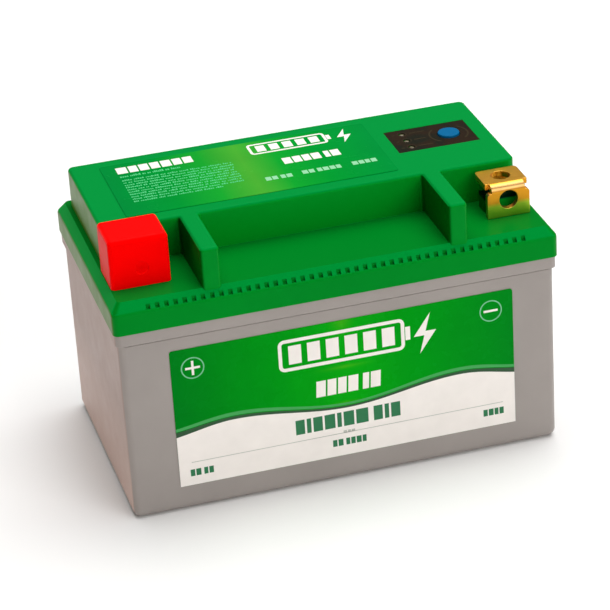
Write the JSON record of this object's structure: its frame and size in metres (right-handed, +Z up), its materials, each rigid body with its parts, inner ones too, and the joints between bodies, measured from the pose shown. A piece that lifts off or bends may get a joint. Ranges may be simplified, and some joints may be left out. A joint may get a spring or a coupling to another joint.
{
  "type": "motorcycle battery",
  "caption": "Sealed lithium motorcycle battery with bent-strip bolt terminals, lift-off terminal cap, charge indicator with test button, and a pouch cell pack with balance board inside.",
  "frame": {"origin": "centre of the case's underside", "axes": "+X towards the negative terminal, +Y towards the rear (the labelled side faces -Y), +Z up"},
  "size_m": [0.15, 0.087, 0.0964],
  "materials": {
    "case_grey": "fine moulded texture",
    "cover_green": "satin moulded",
    "cap_red": "soft moulded",
    "seal_black": "matte",
    "label_green": "printed film",
    "terminal_brass": "rolled strip",
    "panel_black": "printed film",
    "button_blue": "soft moulded",
    "switch_black": "moulded",
    "spring_steel": "rolled",
    "led_clear": "diffused",
    "board_green": "solder mask",
    "screw_steel": "zinc plated",
    "connector_white": "moulded",
    "wire_black": "silicone",
    "wire_red": "silicone",
    "pouch_silver": "laminated foil",
    "tab_aluminium": "bare",
    "tab_nickel": "nickel plated",
    "foam_black": "closed cell foam",
    "insulator_paper": "fish paper",
    "tape_glass": "glass fibre tape",
    "copper": "bare copper",
    "lug_tinned": "tinned",
    "component_black": "moulded"
  },
  "bodies": {
    "battery": {"balance_board": "board_green", "balance_chips": "component_black", "balance_resistors": "component_black", "base_pad": "foam_black", "bus_nuts": "terminal_brass", "case": "case_grey", "cell_1": "pouch_silver", "cell_2": "pouch_silver", "cell_3": "pouch_silver", "cell_4": "pouch_silver", "cell_band_lower": "tape_glass", "cell_band_upper": "tape_glass", "cell_negative_tabs": "tab_nickel", "cell_pad_1": "foam_black", "cell_pad_2": "foam_black", "cell_pad_3": "foam_black", "cell_positive_tabs": "tab_aluminium", "cover": "cover_green", "cover_seal": "seal_black", "front_foam": "foam_black", "front_label": "label_green", "indicator_board": "board_green", "indicator_connector": "connector_white", "indicator_leads": "wire_black", "indicator_leds": "led_clear", "indicator_overlay": "panel_black", "indicator_screws": "screw_steel", "lead_nuts": "screw_steel", "lead_screws": "screw_steel", "left_end_foam": "foam_black", "negative_bus": "copper", "negative_lead": "wire_black", "negative_lead_lugs": "lug_tinned", "negative_terminal": "terminal_brass", "negative_terminal_seal": "seal_black", "positive_bus": "copper", "positive_lead": "wire_red", "positive_lead_lugs": "lug_tinned", "positive_terminal": "terminal_brass", "positive_terminal_seal": "seal_black", "rear_foam": "foam_black", "right_end_foam": "foam_black", "series_link_1": "copper", "series_link_2": "copper", "series_link_3": "copper", "switch_body": "switch_black", "switch_dome": "spring_steel", "top_insulator": "insulator_paper", "top_label": "label_green"},
    "button": {"test_button": "button_blue", "switch_plunger": "switch_black"},
    "cap": {"positive_terminal_cap": "cap_red"}
  },
  "joints": [
    {"name": "button_press", "type": "slide", "parent": "battery", "child": "button", "axis": [0, 0, -1], "range_m": [0, 0.0005], "deforming": ["switch_dome"]},
    {"name": "cap_lift", "type": "slide", "parent": "battery", "child": "cap", "axis": [0, 0, 1], "range_m": [0, 0.03]}
  ]
}
